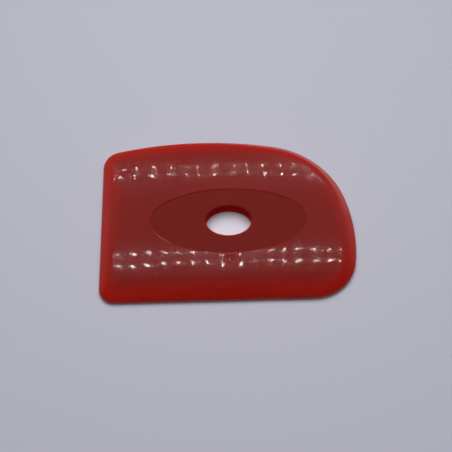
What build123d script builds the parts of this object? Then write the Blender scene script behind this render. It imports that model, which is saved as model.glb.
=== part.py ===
from build123d import *
import math
import os

# Pottery rib: one flexible moulded blade, lying on its flat back.
# Millimetres. +X runs along the straight bottom edge, +Y towards the long curved top edge, +Z out of the dome.
# The origin is the middle of the blade's length and height, on the flat back.

# Overall size of the blade
blade_length = 127.0
blade_height = 90.5
blade_thickness = 6.8

# Radii of the outline's corners and shoulder, seen from above
lower_left_radius = 7.6
lower_right_radius = 21.7
shoulder_radius = 45.3
upper_left_radius = 9.8

# Directions in which the outline faces, in degrees from +X, where one arc hands over to the next
corner_to_side = -9.2
side_to_shoulder = 17.5
shoulder_to_top = 79.1
top_to_corner = 102.6

# Scraping rim: a thin rounded edge and a bevel that would reach the full thickness this far in
edge_thickness = 1.8
bevel_width = 6.4
crest_round = 3.0
nose_radius = 1.2
back_round = 0.5

# Dome: how far it falls across the blade, from the panel's lip to the far long edge. Along the blade it is
# flatter, so that the lip lies level on it. This far in from the two long edges it starts to roll off more
dome_fall = 3.5
roll_width = 12.0
roll_radius = 80.0

# Matte oval panel, sunk into the top of the dome, with a narrow lip round it
panel_length = 78.6
panel_height = 35.7
panel_depth = 0.3
panel_lip = 0.5
panel_place_shares = (0.504, 0.455)

# Oval finger hole in the middle of the panel, with both its edges rounded
hole_length = 22.4
hole_height = 15.9
hole_round = 1.2

# Gate mark, where the mould was filled: a shallow oval dish with a small pip in it
gate_gap = 3.6
dish_length = 6.8
dish_height = 4.4
dish_depth = 0.2
pip_diameter = 2.6
pip_rise = 0.1

# Cuts run past the faces that they open by this much
overrun = 2.0

# Fillets stay below this share of the wall or the bevel that they round
fillet_limit_share = 0.45


def facing(degrees):
    """Unit vector in the plan, measured from +X towards +Y."""
    return Vector(math.cos(math.radians(degrees)), math.sin(math.radians(degrees)))


def closing_radii():
    """Radii of the top and side arcs with which the tangent outline has the stated length and height."""
    corner, side = facing(corner_to_side), facing(side_to_shoulder)
    shoulder, top = facing(shoulder_to_top), facing(top_to_corner)
    spare_length = (
        blade_length
        - upper_left_radius * (1 + top.X)
        - shoulder_radius * (side.X - shoulder.X)
    )
    spare_height = (
        blade_height
        - lower_right_radius * (1 + corner.Y)
        - shoulder_radius * (shoulder.Y - side.Y)
    )
    top_length, side_length = shoulder.X - top.X, 1 - side.X
    top_height, side_height = 1 - shoulder.Y, side.Y - corner.Y
    whole = top_length * side_height - side_length * top_height
    top_radius = (spare_length * side_height - side_length * spare_height) / whole
    side_radius = (top_length * spare_height - spare_length * top_height) / whole
    return top_radius, side_radius


def outline_arcs():
    """Centre, radius, first and last direction of each arc, anticlockwise from the lower left corner."""
    top_radius, side_radius = closing_radii()
    side_centre = Vector(
        blade_length / 2 - side_radius,
        lower_right_radius - (side_radius - lower_right_radius) * facing(corner_to_side).Y - blade_height / 2,
    )
    lower_right = side_centre + facing(corner_to_side) * (side_radius - lower_right_radius)
    shoulder = side_centre + facing(side_to_shoulder) * (side_radius - shoulder_radius)
    top = shoulder + facing(shoulder_to_top) * (shoulder_radius - top_radius)
    upper_left = top + facing(top_to_corner) * (top_radius - upper_left_radius)
    lower_left = Vector(lower_left_radius - blade_length / 2, lower_left_radius - blade_height / 2)
    return [
        (lower_left, lower_left_radius, 180, 270),
        (lower_right, lower_right_radius, -90, corner_to_side),
        (side_centre, side_radius, corner_to_side, side_to_shoulder),
        (shoulder, shoulder_radius, side_to_shoulder, shoulder_to_top),
        (top, top_radius, shoulder_to_top, top_to_corner),
        (upper_left, upper_left_radius, top_to_corner, 180),
    ]


def outline_edges(inset, height):
    """The outline, drawn parallel to itself at one height: six arcs and two straight edges in order."""
    lift = Vector(0, 0, height)
    arcs = [
        CenterArc(centre + lift, radius - inset, first, last - first)
        for centre, radius, first, last in outline_arcs()
    ]
    bottom = Line(arcs[0] @ 1, arcs[1] @ 0)
    left = Line(arcs[-1] @ 1, arcs[0] @ 0)
    return [arcs[0], bottom, *arcs[1:], left]


def panel_centre(height):
    """Middle of the panel and the finger hole, at one height."""
    across, up = panel_place_shares
    return Vector(blade_length * (across - 0.5), blade_height * (up - 0.5), height)


def dome_radius():
    """Radius of the dome across the blade, which gives it the stated fall from the lip to the far edge."""
    lip_reach = panel_height / 2 + panel_lip
    edge_reach = blade_height / 2 - panel_centre(blade_thickness).Y
    return (edge_reach**2 - lip_reach**2) / (2 * dome_fall)


def dome_section(middle, radius, reach):
    """The space under the dome where it is cut across: a wide arc that rolls off at both long edges."""
    floor, roof = -overrun, middle.Z + overrun
    turn = blade_height / 2 - roll_width
    hub = Vector(middle.Y, middle.Z - radius)
    section = (Pos(hub.X, hub.Y) * Circle(radius)) & strip(-turn, turn, floor, roof)
    for side, (start, end) in ((-1, (-reach, -turn)), (1, (turn, reach))):
        along = side * turn - hub.X
        corner = Vector(side * turn, hub.Y + math.sqrt(radius**2 - along**2))
        centre = corner + (hub - corner) * (roll_radius / radius)
        section += (Pos(centre.X, centre.Y) * Circle(roll_radius)) & strip(start, end, floor, roof)
    return section


def strip(start, end, floor, roof):
    """An upright rectangle between two places across the blade and two heights."""
    return Pos((start + end) / 2, (floor + roof) / 2) * Rectangle(end - start, roof - floor)


def dome_block():
    """A block that fills all the space under the dome, curved across the blade and more gently along it."""
    lip_length, lip_height = panel_length + 2 * panel_lip, panel_height + 2 * panel_lip
    radius = dome_radius()
    radius_along = radius * (lip_length / lip_height) ** 2
    top = panel_centre(blade_thickness + lip_height**2 / (8 * radius))
    section = Plane.YZ.offset(top.X) * dome_section(top, radius, blade_height / 2 + overrun)
    axis = Axis((top.X, 0, top.Z - radius_along), (0, 1, 0))
    swing = math.degrees(math.asin((blade_length / 2 + abs(top.X) + overrun) / radius_along))
    return revolve(section.rotate(axis, -swing), axis, 2 * swing)


def blade_blank():
    """Flat back, rounded edge, bevel and dome, before anything is cut into it."""
    slab = extrude(Face(Wire(outline_edges(0, 0))), edge_thickness, dir=(0, 0, 1))
    edge = Wire(outline_edges(0, edge_thickness))
    crest = Wire(outline_edges(bevel_width, blade_thickness))
    bevel = Solid.make_loft([edge, crest], ruled=True)
    blank = (slab + bevel) & dome_block()
    domes = blank.faces().filter_by(GeomType.TORUS)
    crest_edges = [edge for edge in domes.edges() if sum(edge in dome.edges() for dome in domes) == 1]
    blank = fillet(crest_edges, min(crest_round, bevel_width * fillet_limit_share))
    limit = edge_thickness * fillet_limit_share
    nose = blank.edges().filter_by(lambda edge: math.isclose(edge.center().Z, edge_thickness))
    blank = fillet(nose, min(nose_radius, 2 * limit))
    back = blank.edges().group_by(Axis.Z)[0]
    return fillet(back, min(back_round, limit))


def oval_prism(length, width, floor, roof):
    """A straight-sided oval block round the panel's centre."""
    centre = panel_centre(floor)
    oval = Plane(origin=centre) * Ellipse(length / 2, width / 2)
    return extrude(oval, roof - floor, dir=(0, 0, 1))


def gate_mark(blade):
    """Sinks the oval dish into the dome below the panel and leaves its pip standing."""
    centre = panel_centre(blade_thickness) - Vector(0, panel_height / 2 + gate_gap, 0)
    plumb = Axis(centre + Vector(0, 0, overrun), (0, 0, -1))
    surface = max(point.Z for point, _ in blade.find_intersection_points(plumb))
    floor = surface - dish_depth
    along = ((dish_length / 2) ** 2 + dish_depth**2) / (2 * dish_depth)
    across = ((dish_height / 2) ** 2 + dish_depth**2) / (2 * dish_depth)
    axis = Axis((centre.X, centre.Y, floor + across), (1, 0, 0))
    below = strip(-along, along, -overrun, across)
    spindle = Plane.XZ.offset(-centre.Y) * (Pos(centre.X, floor) * (Pos(0, along) * Circle(along) & below))
    dish = revolve(spindle, axis, 360)
    pip = Cylinder(pip_diameter / 2, dish_depth + pip_rise, align=(Align.CENTER, Align.CENTER, Align.MIN))
    return blade - dish + Pos(centre.X, centre.Y, surface - 2 * dish_depth) * pip


def rib_blade():
    """The whole moulding: blank, sunken panel, finger hole with rounded edges, and gate mark."""
    panel_floor = blade_thickness - panel_depth
    blade = blade_blank()
    blade -= oval_prism(panel_length, panel_height, panel_floor, blade_thickness + overrun)
    blade -= oval_prism(hole_length, hole_height, -overrun, blade_thickness + overrun)
    hole_edges = blade.edges().filter_by(
        lambda edge: hole_height < edge.bounding_box().size.X < (hole_length + panel_length) / 2
        and (edge.center(CenterOf.BOUNDING_BOX) - panel_centre(edge.center().Z)).length < hole_round
    )
    limit = panel_floor * fillet_limit_share
    blade = fillet(hole_edges, min(hole_round, limit))
    return gate_mark(blade)


os.makedirs("parts", exist_ok=True)
blade = rib_blade()
export_step(blade, "parts/rib_blade.step")
print("rib_blade", blade.bounding_box().size, "volume", round(blade.volume), "solids", len(blade.solids()))
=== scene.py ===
from math import cos, isclose, radians, sin

import bmesh
import bpy
from mathutils import Matrix, Vector
from mathutils.kdtree import KDTree


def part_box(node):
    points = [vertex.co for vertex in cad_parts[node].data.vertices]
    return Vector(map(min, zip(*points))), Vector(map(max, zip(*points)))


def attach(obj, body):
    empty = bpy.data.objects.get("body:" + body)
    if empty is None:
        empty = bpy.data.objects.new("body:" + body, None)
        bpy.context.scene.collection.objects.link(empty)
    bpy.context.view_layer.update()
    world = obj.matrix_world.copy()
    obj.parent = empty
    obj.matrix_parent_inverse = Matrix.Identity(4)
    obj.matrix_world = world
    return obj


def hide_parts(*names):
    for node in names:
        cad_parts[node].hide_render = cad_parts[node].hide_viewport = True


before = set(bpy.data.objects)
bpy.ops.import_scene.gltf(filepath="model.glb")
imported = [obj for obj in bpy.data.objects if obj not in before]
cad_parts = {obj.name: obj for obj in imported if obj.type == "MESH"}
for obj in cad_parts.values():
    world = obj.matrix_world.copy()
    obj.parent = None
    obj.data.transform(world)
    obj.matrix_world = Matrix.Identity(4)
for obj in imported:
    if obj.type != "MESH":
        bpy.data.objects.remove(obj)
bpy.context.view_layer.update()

# Everything is in metres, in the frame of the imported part: +X runs along the straight bottom edge, and
# +Z out of the dome.
MM = 0.001

# Overall size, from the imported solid
blade_low, blade_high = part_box("rib_blade")
blade_length = blade_high.x - blade_low.x
blade_height = blade_high.y - blade_low.y
blade_thickness = blade_high.z - blade_low.z

# Outline: radii of its corners and shoulder, and the directions in which it turns from arc to arc
lower_left_radius = 7.6 * MM
lower_right_radius = 21.7 * MM
shoulder_radius = 45.3 * MM
upper_left_radius = 9.8 * MM
corner_to_side = -9.2
side_to_shoulder = 17.5
shoulder_to_top = 79.1
top_to_corner = 102.6

# Scraping rim: a thin rounded edge and a bevel that would reach the full thickness this far in
edge_thickness = 1.8 * MM
bevel_width = 6.4 * MM
crest_blend = 1.5 * MM
nose_bevel = 0.6 * MM
back_round = 0.5 * MM

# Dome: how far it falls from the panel's lip to the far long edge, and the width in which it rolls off more
dome_fall = 3.5 * MM
roll_width = 12.0 * MM
roll_radius = 80.0 * MM

# Matte panel and finger hole
panel_length = 78.6 * MM
panel_height = 35.7 * MM
panel_depth = 0.3 * MM
panel_lip = 0.5 * MM
lip_round = 0.25 * MM
panel_place_shares = (0.504, 0.455)
hole_length = 22.4 * MM
hole_height = 15.9 * MM
hole_round = 1.2 * MM
panel_floor = blade_thickness - panel_depth
panel_centre = Vector((
    blade_length * (panel_place_shares[0] - 0.5),
    blade_height * (panel_place_shares[1] - 0.5),
    0,
))
lip_length = panel_length + 2 * panel_lip
lip_height = panel_height + 2 * panel_lip
dome_radius = ((blade_height / 2 - panel_centre.y) ** 2 - (lip_height / 2) ** 2) / (2 * dome_fall)
dome_rise = lip_height**2 / (8 * dome_radius)

# Gate mark below the panel: a wide faint sink, an oval dish and a small pip
gate_gap = 3.6 * MM
gate_centre = panel_centre - Vector((0, panel_height / 2 + gate_gap, 0))
sink_length = 25.0 * MM
sink_height = 15.0 * MM
sink_depth = 0.05 * MM
dish_length = 6.8 * MM
dish_height = 4.4 * MM
dish_depth = 0.2 * MM
pip_diameter = 2.6 * MM
pip_rise = 0.1 * MM

# Faint unevenness of the moulded face
wave_size = 18.0 * MM
wave_height = 0.085 * MM

wave_lip_fade_share = 0.08
wave_rim_fade_share = 0.3

# Steepness of the pip's side, and how far past the dish the skin is divided finely
pip_side_share = 0.3
gate_patch_share = 1.3
gate_cuts = 2

# How closely points have to match a place, a height, an oval or the upright edge to count as on it
point_match = 0.01 * MM
height_match = 0.001 * MM
oval_match_share = 0.01
upright_match = 0.1 * MM

# Colours of the polymer from the rim to the middle of the blade, a painted glow of light shining through the
# thin rim that deepens toward the thick middle: share of the way in, and linear colour
painted_glow_reach_mm = 26.0
painted_rim_glow_shares = (
    (0.0, (0.42, 0.014, 0.009)),
    (0.12, (0.385, 0.011, 0.005)),
    (0.24, (0.29, 0.009, 0.005)),
    (0.4, (0.23, 0.008, 0.005)),
    (1.0, (0.215, 0.0075, 0.005)),
)
matte_colours = ((0.17, 0.0145, 0.011), (0.205, 0.0165, 0.013))

# Colours of the hole's wall from the back to the face, painted light: lighter than the polymer low on the
# wall and darkened to a painted shade at the top rounding: share of the way up, and linear colour
wall_painted_light_shares = (
    (0.0, (0.36, 0.009, 0.007)),
    (0.8, (0.32, 0.009, 0.007)),
    (1.0, (0.12, 0.006, 0.005)),
)

# Finishes of the three zones
glow = {"Subsurface Weight": 1.0, "Subsurface Radius": (1.0, 0.12, 0.08), "Subsurface Scale": 3.0 * MM}
gloss_finish = {
    "Roughness": 0.2, "Specular IOR Level": 0.25, "IOR": 1.5,
    "Coat Weight": 1.0, "Coat Roughness": 0.048, "Coat IOR": 1.4, **glow,
}
gloss_bump = 0.002 * MM
gloss_grain = 2.5 * MM
grain_detail = 2.0
matte_finish = {"Roughness": 0.6, "Specular IOR Level": 0.2, "IOR": 1.5, **glow}
matte_bump = 0.02 * MM
matte_grain = 0.35 * MM
matte_cloud_size = 9.0 * MM
matte_cloud_detail = 3.0
wall_finish = {"Roughness": 0.4, "Specular IOR Level": 0.0, "IOR": 1.5, **glow}

# Table
table_width = 6.0
table_finish = {"Roughness": 0.85, "Specular IOR Level": 0.2}

# Colours of the table, a painted pool of light that brightens toward the middle and is brightest under the
# blade and in its hole: share of the way in from the pool's reach to the middle, and linear colour
painted_pool_reach = 260.0 * MM
table_painted_light_shares = (
    (0.0, (0.45, 0.47, 0.55)),
    (0.87, (0.505, 0.51, 0.595)),
    (0.90, (0.72, 0.70, 0.80)),
)

# Brightness of the room by direction: share of the way from the near side to the far side, and radiance
room_depth_shares = (
    (0.0, 0.02),
    (0.5, 0.04),
    (0.64, 0.12),
    (0.735, 0.25),
    (0.81, 0.26),
    (0.88, 0.18),
    (0.94, 0.10),
    (1.0, 0.08),
)
room_tint = (0.97, 0.98, 1.0)

# Soft lights: place, width and depth, and power
soft_lights = {
    "back_light": (Vector((0, 900, 1100)) * MM, (1.6, 0.8), 11.0),
    "ceiling_light": (Vector((0, 150, 1300)) * MM, (1.6, 1.6), 11.5),
}
lamp_colour = (1.0, 0.98, 0.96)

# Bars of ceiling lamps: distance back, gap between the two rows, pitch along a row, shift sideways, power
lamp_bars = {
    "back_bar": (390 * MM, 36 * MM, 22.3 * MM, -5.9 * MM, 0.0024),
    "top_bar": (107 * MM, 29 * MM, 18.3 * MM, 0.0 * MM, 0.0026),
}
lamp_height = 400.0 * MM
lamp_size = (1.0 * MM, 8.0 * MM)
lamps_each_side = 8

# Edges along each stretch of the outline, anticlockwise from the lower left corner
lower_left_steps = 14
bottom_steps = 56
lower_right_steps = 24
side_steps = 44
shoulder_steps = 40
top_steps = 44
upper_left_steps = 14
left_steps = 52
loop_steps = (
    lower_left_steps + bottom_steps + lower_right_steps + side_steps
    + shoulder_steps + top_steps + upper_left_steps + left_steps
)

# Rings of faces across each zone, how far in the rings of the rim reach, and how far the last one is raised
rim_rings = 10
dome_rings = 15
panel_rings = 9
wall_rings = 3
back_rings = 8
rim_rings_width = 6.5 * MM
rim_step = 0.1 * MM

# Faces across each rounded edge
nose_segments = 5
back_segments = 3
lip_segments = 3
hole_segments = 4

# Photographed view: where the camera looks, how far it is, and how it is turned
view_target = Vector((-0.86, -3.92, 0)) * MM
view_distance = 464.0 * MM
view_height = 62.0
view_turn = 1.62
lens_length = 73.35
sensor_width = 36


def facing(degrees):
    """Unit vector in the plan, measured from +X towards +Y."""
    return Vector((cos(radians(degrees)), sin(radians(degrees)), 0))


def closing_radii():
    """Radii of the top and side arcs with which the tangent outline has the blade's length and height."""
    corner, side = facing(corner_to_side), facing(side_to_shoulder)
    shoulder, top = facing(shoulder_to_top), facing(top_to_corner)
    spare_length = blade_length - upper_left_radius * (1 + top.x) - shoulder_radius * (side.x - shoulder.x)
    spare_height = (
        blade_height - lower_right_radius * (1 + corner.y) - shoulder_radius * (shoulder.y - side.y)
    )
    top_length, side_length = shoulder.x - top.x, 1 - side.x
    top_height, side_height = 1 - shoulder.y, side.y - corner.y
    whole = top_length * side_height - side_length * top_height
    top_radius = (spare_length * side_height - side_length * spare_height) / whole
    side_radius = (top_length * spare_height - spare_length * top_height) / whole
    return top_radius, side_radius


def settle(piece, kind, **settings):
    """Gives a piece a modifier and applies it."""
    modifier = piece.modifiers.new(kind.lower(), kind)
    for name, value in settings.items():
        setattr(modifier, name, value)
    bpy.ops.object.modifier_apply(modifier=modifier.name)


def weigh(piece, name, weight):
    """Stores a weight from 0 to 1 for each point of a piece, worked out from its place."""
    group = piece.vertex_groups.new(name=name)
    for point in piece.data.vertices:
        group.add([point.index], max(0, min(1, weight(point.co))), "REPLACE")


def select(kind, test):
    """Selects the edges or faces of the mesh being edited whose corners all pass the test."""
    bpy.ops.mesh.select_all(action="DESELECT")
    bpy.ops.mesh.select_mode(type=kind)
    piece = bpy.context.object
    mesh = bmesh.from_edit_mesh(piece.data)
    for element in mesh.edges if kind == "EDGE" else mesh.faces:
        if all(test(corner.co) for corner in element.verts):
            element.select_set(True)
    bmesh.update_edit_mesh(piece.data)


def at_height(height):
    """True at one height above the table."""
    return lambda point: isclose(point.z, height, abs_tol=height_match)


def oval_reach(point, centre, length, width):
    """How far out a point lies in the plan: 0 at the centre of an oval and 1 on its rim."""
    reach = point - centre
    return ((2 * reach.x / length) ** 2 + (2 * reach.y / width) ** 2) ** 0.5


def on_oval(length, width, height):
    """True on the rim of an oval round the panel's centre, at one height."""
    def test(point):
        reach = oval_reach(point, panel_centre, length, width)
        return at_height(height)(point) and isclose(reach, 1, abs_tol=oval_match_share)
    return test


def on_floor(point):
    """True on the floor of the panel."""
    return at_height(panel_floor)(point) and oval_reach(point, panel_centre, lip_length, lip_height) < 1


def arc(centre, degrees, steps):
    """Spins the end of the outline round a centre. Without a window, a negative angle turns anticlockwise."""
    bpy.ops.mesh.spin(steps=steps, angle=-radians(degrees), center=centre, axis=(0, 0, 1))


def straight(stretch, steps):
    """Carries the end of the outline along a straight stretch."""
    for _ in range(steps):
        bpy.ops.mesh.extrude_region_move(TRANSFORM_OT_translate={"value": stretch / steps})


def draw_outline():
    """The closed outline of the blade on the table, as one flat face."""
    top_radius, side_radius = closing_radii()
    rise = (side_radius - lower_right_radius) * facing(corner_to_side).y
    side = Vector((blade_length / 2 - side_radius, lower_right_radius - rise - blade_height / 2, 0))
    lower_right = side + facing(corner_to_side) * (side_radius - lower_right_radius)
    shoulder = side + facing(side_to_shoulder) * (side_radius - shoulder_radius)
    top = shoulder + facing(shoulder_to_top) * (shoulder_radius - top_radius)
    upper_left = top + facing(top_to_corner) * (top_radius - upper_left_radius)
    lower_left = Vector((lower_left_radius - blade_length / 2, lower_left_radius - blade_height / 2, 0))
    bpy.ops.mesh.merge(type="CENTER")
    bpy.ops.transform.translate(value=lower_left + facing(180) * lower_left_radius)
    arc(lower_left, 90, lower_left_steps)
    straight(Vector((lower_right.x - lower_left.x, 0, 0)), bottom_steps)
    arc(lower_right, 90 + corner_to_side, lower_right_steps)
    arc(side, side_to_shoulder - corner_to_side, side_steps)
    arc(shoulder, shoulder_to_top - side_to_shoulder, shoulder_steps)
    arc(top, top_to_corner - shoulder_to_top, top_steps)
    arc(upper_left, 180 - top_to_corner, upper_left_steps)
    straight(Vector((0, lower_left.y - upper_left.y, 0)), left_steps)
    bpy.ops.mesh.select_all(action="SELECT")
    bpy.ops.mesh.remove_doubles(threshold=point_match)
    bpy.ops.mesh.edge_face_add()


def add_oval(length, width, height):
    """A loop of points on an oval round the panel's centre, ready to be bridged."""
    centre = panel_centre + Vector((0, 0, height))
    bpy.ops.mesh.select_all(action="DESELECT")
    bpy.ops.mesh.primitive_circle_add(vertices=loop_steps, radius=0.5, location=centre)
    bpy.ops.transform.resize(value=(length, width, 1), center_override=centre)


def bridge(first, second, rings):
    """Joins two loops with rings of faces."""
    select("EDGE", lambda point: first(point) or second(point))
    bpy.ops.mesh.bridge_edge_loops(number_cuts=rings - 1, interpolation="LINEAR")


def bevel(test, width, segments):
    """Rounds the edges whose ends pass the test."""
    select("EDGE", test)
    bpy.ops.mesh.bevel(offset=width, segments=segments, affect="EDGES")


def open_face(height):
    """Takes out the one big face at a height and leaves its edges."""
    select("FACE", at_height(height))
    bpy.ops.mesh.delete(type="ONLY_FACE")


def dome_height(point):
    """Height of the dome above the table: level on the panel's lip, and rolled off at the long edges."""
    crown = dome_rise * (1 - oval_reach(point, panel_centre, lip_length, lip_height) ** 2)
    roll = max(0, abs(point.y) + roll_width - blade_height / 2)
    return blade_thickness + crown - roll**2 * (1 / roll_radius - 1 / dome_radius) / 2


def face_height(point, from_edge):
    """Height of the top face: the lower of bevel and dome, with a soft crest where they cross."""
    bevel_height = edge_thickness + (blade_thickness - edge_thickness) * from_edge / bevel_width
    dome = dome_height(point)
    overlap = max(0, crest_blend - abs(bevel_height - dome))
    return min(bevel_height, dome) - overlap**2 / (4 * crest_blend)


def outline_finder(blade, lowest, highest):
    """A function that gives a point's distance in the plan from the upright edge between two heights."""
    edge = [point.co for point in blade.data.vertices if lowest <= point.co.z <= highest]
    outline = KDTree(len(edge))
    for index, place in enumerate(edge):
        outline.insert((place.x, place.y, 0), index)
    outline.balance()
    return lambda point: outline.find((point.x, point.y, 0))[2]


def raise_face(blade):
    """Lifts the flat rings and the straight slope inside the edge onto the bevel and the dome."""
    bpy.ops.object.mode_set(mode="OBJECT")
    outline = outline_finder(blade, 0, edge_thickness / 2)
    room = blade_thickness - edge_thickness
    weigh(blade, "lift", lambda point: (outline(point) > point_match) * (
        face_height(point, outline(point)) - point.z
    ) / room)
    settle(blade, "DISPLACE", vertex_group="lift", direction="Z", mid_level=0, strength=room)
    bpy.ops.object.mode_set(mode="EDIT")


def model_blade():
    """The whole moulding as one closed skin, from the outline inwards and through the hole to the back."""
    bpy.ops.object.select_all(action="DESELECT")
    bpy.ops.mesh.primitive_plane_add(size=MM)
    blade = bpy.context.object
    blade.name = blade.data.name = "rib_blade_skin"
    bpy.ops.object.mode_set(mode="EDIT")
    draw_outline()
    bpy.ops.mesh.extrude_region_move(TRANSFORM_OT_translate={"value": (0, 0, edge_thickness)})
    bpy.ops.mesh.select_all(action="SELECT")
    bpy.ops.mesh.normals_make_consistent(inside=False)
    select("FACE", at_height(edge_thickness))
    for _ in range(rim_rings - 1):
        bpy.ops.mesh.inset(thickness=rim_rings_width / rim_rings, depth=0)
    bpy.ops.mesh.inset(thickness=rim_rings_width / rim_rings, depth=rim_step)
    open_face(edge_thickness + rim_step)
    lip = (lip_length, lip_height, blade_thickness)
    add_oval(*lip)
    bridge(at_height(edge_thickness + rim_step), at_height(blade_thickness), dome_rings)
    raise_face(blade)
    bevel(at_height(edge_thickness), nose_bevel, nose_segments)
    bevel(at_height(0), back_round, back_segments)
    select("EDGE", on_oval(*lip))
    bpy.ops.mesh.edge_face_add()
    bpy.ops.mesh.inset(thickness=panel_lip, depth=0)
    bpy.ops.mesh.extrude_region_move(TRANSFORM_OT_translate={"value": (0, 0, -panel_depth)})
    bevel(on_oval(panel_length, panel_height, blade_thickness), lip_round, lip_segments)
    open_face(panel_floor)
    hole = (hole_length, hole_height)
    add_oval(*hole, panel_floor)
    bridge(on_floor, on_floor, panel_rings)
    select("EDGE", on_oval(*hole, panel_floor))
    for _ in range(wall_rings):
        bpy.ops.mesh.extrude_edges_move(
            TRANSFORM_OT_translate={"value": (0, 0, -panel_floor / wall_rings)}
        )
    open_face(0)
    bridge(at_height(0), at_height(0), back_rings)
    bevel(on_oval(*hole, panel_floor), hole_round, hole_segments)
    bevel(on_oval(*hole, 0), hole_round, hole_segments)
    bpy.ops.object.mode_set(mode="OBJECT")
    return blade


def on_face(point):
    """True on the domed side of the blade, inside the thin edge."""
    return point.z > edge_thickness


def dome_weight(point):
    """1 on the open dome, fading out at the thin edge and at the lip of the panel."""
    from_lip = oval_reach(point, panel_centre, lip_length, lip_height) - 1
    from_rim = (point.z - edge_thickness) / (blade_thickness - edge_thickness)
    return on_face(point) * min(from_lip / wave_lip_fade_share, from_rim / wave_rim_fade_share)


def oval_dip(centre, length, width):
    """Weight of a shallow bowl with an oval rim."""
    def weight(point):
        return on_face(point) * (1 - oval_reach(point, centre, length, width) ** 2)
    return weight


def soft_sink(point):
    """Weight of a sink that starts and ends without an edge and leaves the lip of the panel alone."""
    reach = min(1, oval_reach(point, gate_centre, sink_length, sink_height))
    from_lip = oval_reach(point, panel_centre, lip_length, lip_height) - 1
    return on_face(point) * (1 - reach**2) ** 2 * max(0, min(1, from_lip / wave_lip_fade_share))


def pip_weight(point):
    """Weight of a small pip with steep sides."""
    reach = oval_reach(point, gate_centre, pip_diameter, pip_diameter)
    return on_face(point) * (1 - reach) / pip_side_share


def carve_gate(blade):
    """Divides the skin finely round the gate mark, then sinks its dish and raises its pip."""
    bpy.ops.object.mode_set(mode="EDIT")
    patch = (dish_length * gate_patch_share, dish_height * gate_patch_share)
    select("FACE", lambda point: on_face(point) and oval_reach(point, gate_centre, *patch) < 1)
    bpy.ops.mesh.subdivide(number_cuts=gate_cuts)
    bpy.ops.object.mode_set(mode="OBJECT")
    weigh(blade, "sink", soft_sink)
    weigh(blade, "dish", oval_dip(gate_centre, dish_length, dish_height))
    weigh(blade, "pip", pip_weight)
    for group, rise in (("sink", -sink_depth), ("dish", -dish_depth), ("pip", dish_depth + pip_rise)):
        settle(blade, "DISPLACE", vertex_group=group, direction="Z", mid_level=0, strength=rise)


def roll_waves(blade):
    """Gives the dome the faint unevenness that a moulded face shows in its reflections."""
    waves = bpy.data.textures.new("moulding_waves", "CLOUDS")
    waves.noise_scale = wave_size
    waves.noise_depth = 0
    weigh(blade, "dome", dome_weight)
    settle(
        blade, "DISPLACE", vertex_group="dome", texture=waves, texture_coords="LOCAL",
        direction="Z", mid_level=0.5, strength=wave_height,
    )


def measure_rim(blade):
    """Stores each point's distance from the outline in the plan, in millimetres, to paint the rim's glow by.
    """
    outline = outline_finder(blade, back_round - upright_match, edge_thickness - nose_bevel + upright_match)
    distance = blade.data.attributes.new("rim_distance", "FLOAT", "POINT")
    for point, value in zip(blade.data.vertices, distance.data):
        value.value = outline(point.co) / MM


def add_node(tree, kind, inputs=None, **settings):
    """A shader node with its settings and input values."""
    node = tree.nodes.new(kind)
    for name, value in settings.items():
        setattr(node, name, value)
    for name, value in (inputs or {}).items():
        node.inputs[name].default_value = value
    return node


def new_material(name):
    """An empty material and its node tree."""
    material = bpy.data.materials.new(name)
    material.use_nodes = True
    material.node_tree.nodes.clear()
    return material, material.node_tree


def fill_ramp(ramp, colours_by_share):
    """Gives a colour ramp its stops, in order."""
    stops = ramp.color_ramp.elements
    for share, colour in colours_by_share[2:]:
        stops.new(share)
    for stop, (share, colour) in zip(stops, colours_by_share):
        stop.position = share
        stop.color = (*colour, 1)


def polymer_colour_painted_glow(tree):
    """Red with a painted glow of light shining through the thin rim, deepening with the thickness of the
    blade.
    """
    distance = add_node(tree, "ShaderNodeAttribute", attribute_name="rim_distance")
    span = add_node(tree, "ShaderNodeMapRange", {"From Max": painted_glow_reach_mm})
    ramp = add_node(tree, "ShaderNodeValToRGB")
    tree.links.new(distance.outputs["Fac"], span.inputs["Value"])
    tree.links.new(span.outputs["Result"], ramp.inputs["Fac"])
    fill_ramp(ramp, painted_rim_glow_shares)
    return ramp


def finish_surface(tree, colour, finish, bump_height, grain_size):
    """The plastic itself: its colour, its gloss and its fine grain."""
    plastic = add_node(tree, "ShaderNodeBsdfPrincipled", finish)
    place = add_node(tree, "ShaderNodeTexCoord")
    grain = add_node(tree, "ShaderNodeTexNoise", {"Scale": 1 / grain_size, "Detail": grain_detail})
    bump = add_node(tree, "ShaderNodeBump", {"Strength": 1.0, "Distance": bump_height})
    output = add_node(tree, "ShaderNodeOutputMaterial")
    tree.links.new(place.outputs["Object"], grain.inputs["Vector"])
    tree.links.new(grain.outputs["Fac"], bump.inputs["Height"])
    tree.links.new(bump.outputs["Normal"], plastic.inputs["Normal"])
    tree.links.new(colour, plastic.inputs["Base Color"])
    tree.links.new(plastic.outputs["BSDF"], output.inputs["Surface"])
    return plastic


def gloss_polymer():
    """Polished dome, rim and back, coloured with the painted rim glow."""
    material, tree = new_material("gloss_red_polymer_painted_glow")
    colour = polymer_colour_painted_glow(tree).outputs["Color"]
    finish_surface(tree, colour, gloss_finish, gloss_bump, gloss_grain)
    return material


def matte_polymer():
    """Finely textured floor of the panel."""
    material, tree = new_material("matte_red_polymer")
    place = add_node(tree, "ShaderNodeTexCoord")
    cloud = add_node(
        tree, "ShaderNodeTexNoise", {"Scale": 1 / matte_cloud_size, "Detail": matte_cloud_detail},
    )
    ramp = add_node(tree, "ShaderNodeValToRGB")
    tree.links.new(place.outputs["Object"], cloud.inputs["Vector"])
    tree.links.new(cloud.outputs["Fac"], ramp.inputs["Fac"])
    for stop, colour in zip(ramp.color_ramp.elements, matte_colours):
        stop.color = (*colour, 1)
    finish_surface(tree, ramp.outputs["Color"], matte_finish, matte_bump, matte_grain)
    return material


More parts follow.
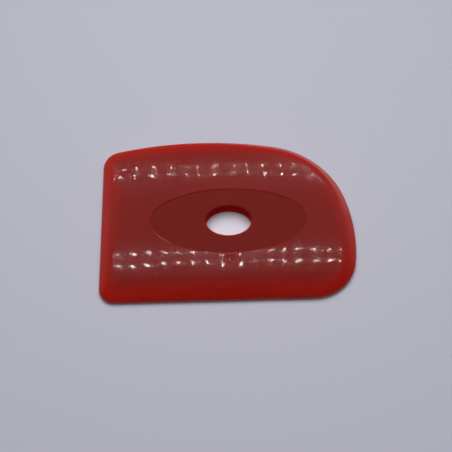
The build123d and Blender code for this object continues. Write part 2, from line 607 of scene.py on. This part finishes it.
def hole_polymer():
    """Wall of the finger hole, where the blade is thickest and the light comes out deep red, coloured with
    painted light: lighter low on the wall and a painted shade at its top rounding.
    """
    material, tree = new_material("deep_red_polymer_painted_light")
    place = add_node(tree, "ShaderNodeTexCoord")
    parts = add_node(tree, "ShaderNodeSeparateXYZ")
    span = add_node(tree, "ShaderNodeMapRange", {"From Max": blade_thickness})
    ramp = add_node(tree, "ShaderNodeValToRGB")
    tree.links.new(place.outputs["Object"], parts.inputs["Vector"])
    tree.links.new(parts.outputs["Z"], span.inputs["Value"])
    tree.links.new(span.outputs["Result"], ramp.inputs["Fac"])
    fill_ramp(ramp, wall_painted_light_shares)
    finish_surface(tree, ramp.outputs["Color"], wall_finish, gloss_bump, gloss_grain)
    return material


def dress_blade(blade):
    """Gives each zone of the skin its own finish."""
    for material in (gloss_polymer(), matte_polymer(), hole_polymer()):
        blade.data.materials.append(material)
    hole_zone = (hole_length + hole_round, hole_height + hole_round)
    for face in blade.data.polygons:
        in_panel = oval_reach(face.center, panel_centre, panel_length, panel_height) < 1
        in_hole = oval_reach(face.center, panel_centre, *hole_zone) < 1
        if in_hole:
            face.material_index = 2
        elif in_panel and blade_thickness / 2 < face.center.z < panel_floor + point_match:
            face.material_index = 1


def table_top():
    """The pale table that the rib lies on, plain but for a painted pool of light round the blade."""
    bpy.ops.object.select_all(action="DESELECT")
    bpy.ops.mesh.primitive_plane_add(size=table_width)
    table = bpy.context.object
    table.name = table.data.name = "table_top"
    material, tree = new_material("pale_table_painted_pool")
    place = add_node(tree, "ShaderNodeTexCoord")
    # Painted pool of light: a spherical gradient brightening the table toward the middle.
    glow = add_node(tree, "ShaderNodeTexGradient", gradient_type="SPHERICAL")
    spread = add_node(tree, "ShaderNodeMapping", {"Scale": (1 / painted_pool_reach,) * 3})
    ramp = add_node(tree, "ShaderNodeValToRGB")
    paint = add_node(tree, "ShaderNodeBsdfPrincipled", table_finish)
    output = add_node(tree, "ShaderNodeOutputMaterial")
    tree.links.new(place.outputs["Object"], spread.inputs["Vector"])
    tree.links.new(spread.outputs["Vector"], glow.inputs["Vector"])
    tree.links.new(glow.outputs["Fac"], ramp.inputs["Fac"])
    tree.links.new(ramp.outputs["Color"], paint.inputs["Base Color"])
    tree.links.new(paint.outputs["BSDF"], output.inputs["Surface"])
    fill_ramp(ramp, table_painted_light_shares)
    table.data.materials.append(material)


def add_lamp(name, shape, place, size, power):
    """A flat lamp that shines at the middle of the blade."""
    lamp = bpy.data.lights.new(name, "AREA")
    lamp.energy = power
    lamp.color = lamp_colour
    lamp.shape = shape
    lamp.size, lamp.size_y = size
    holder = bpy.data.objects.new(name, lamp)
    holder.location = place
    holder.rotation_euler = place.to_track_quat("Z", "Y").to_euler()
    bpy.context.scene.collection.objects.link(holder)
    return holder


def light_room():
    """A room of uneven brightness, soft light from behind and above, and two bars of small ceiling lamps."""
    world = bpy.data.worlds.new("pale_room")
    world.use_nodes = True
    bpy.context.scene.world = world
    tree = world.node_tree
    direction = add_node(tree, "ShaderNodeTexCoord")
    parts = add_node(tree, "ShaderNodeSeparateXYZ")
    depth = add_node(tree, "ShaderNodeMapRange", {"From Min": -1.0, "From Max": 1.0})
    room = add_node(tree, "ShaderNodeValToRGB")
    fill_ramp(room, [(share, [level * tint for tint in room_tint]) for share, level in room_depth_shares])
    tree.links.new(direction.outputs["Generated"], parts.inputs["Vector"])
    tree.links.new(parts.outputs["Y"], depth.inputs["Value"])
    tree.links.new(depth.outputs["Result"], room.inputs["Fac"])
    tree.links.new(room.outputs["Color"], tree.nodes["Background"].inputs["Color"])
    for name, (place, size, power) in soft_lights.items():
        soft = add_lamp(name, "RECTANGLE", place, size, power)
        soft.visible_glossy = False
    for bar, (depth, row_gap, pitch, shift, power) in lamp_bars.items():
        for row in (-0.5, 0.5):
            for step in range(-lamps_each_side, lamps_each_side + 1):
                place = Vector((step * pitch + shift, depth + row * row_gap, lamp_height))
                name = f"{bar}_{'near' if row < 0 else 'far'}_{step + lamps_each_side:02d}"
                add_lamp(name, "ELLIPSE", place, lamp_size, power)


def place_camera():
    """The camera at the photographed angle."""
    lens = bpy.data.cameras.new("photo_view")
    lens.sensor_width = sensor_width
    lens.lens = lens_length
    camera = bpy.data.objects.new("photo_view", lens)
    bpy.context.scene.collection.objects.link(camera)
    turn = radians(view_turn)
    away = Vector((
        -cos(radians(view_height)) * sin(turn),
        -cos(radians(view_height)) * cos(turn),
        sin(radians(view_height)),
    ))
    right = Vector((cos(turn), -sin(turn), 0))
    up = away.cross(right)
    camera.matrix_world = Matrix.Translation(view_target + away * view_distance) @ Matrix(
        (right, up, away)
    ).transposed().to_4x4()
    bpy.context.scene.camera = camera


blade = model_blade()
settle(blade, "SUBSURF", levels=1, render_levels=1)
roll_waves(blade)
carve_gate(blade)
bpy.ops.object.shade_smooth()
measure_rim(blade)
dress_blade(blade)
blade.vertex_groups.clear()
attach(blade, "root")
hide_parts("rib_blade")

table_top()
light_room()
place_camera()
bpy.context.scene.view_settings.view_transform = "Standard"
